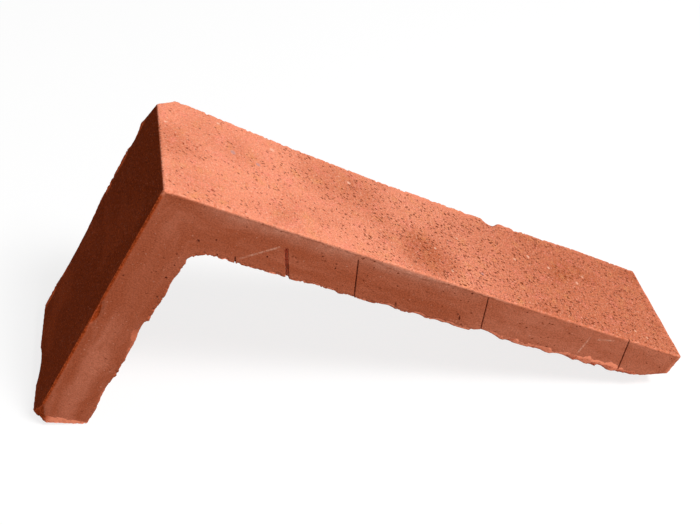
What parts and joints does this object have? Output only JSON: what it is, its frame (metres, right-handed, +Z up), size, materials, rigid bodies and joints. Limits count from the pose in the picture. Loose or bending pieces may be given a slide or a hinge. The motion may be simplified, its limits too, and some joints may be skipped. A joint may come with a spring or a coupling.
{
  "type": "corner brick slip",
  "caption": "Thin L-shaped facing of fired clay that wraps a wall's outside corner to look like a whole brick.",
  "frame": {"origin": "on the floor, under the middle of the slip's bounding box, with the slip standing on its two leg ends", "axes": "+X along the line of the two feet towards the long leg's end, +Y along the height of the laid brick, +Z up"},
  "size_m": [0.2426, 0.05, 0.1052],
  "materials": {
    "fired_clay": "matt, sanded outer faces and smoother beds"
  },
  "bodies": {
    "root": {"corner_slip": "fired_clay"}
  },
  "joints": []
}
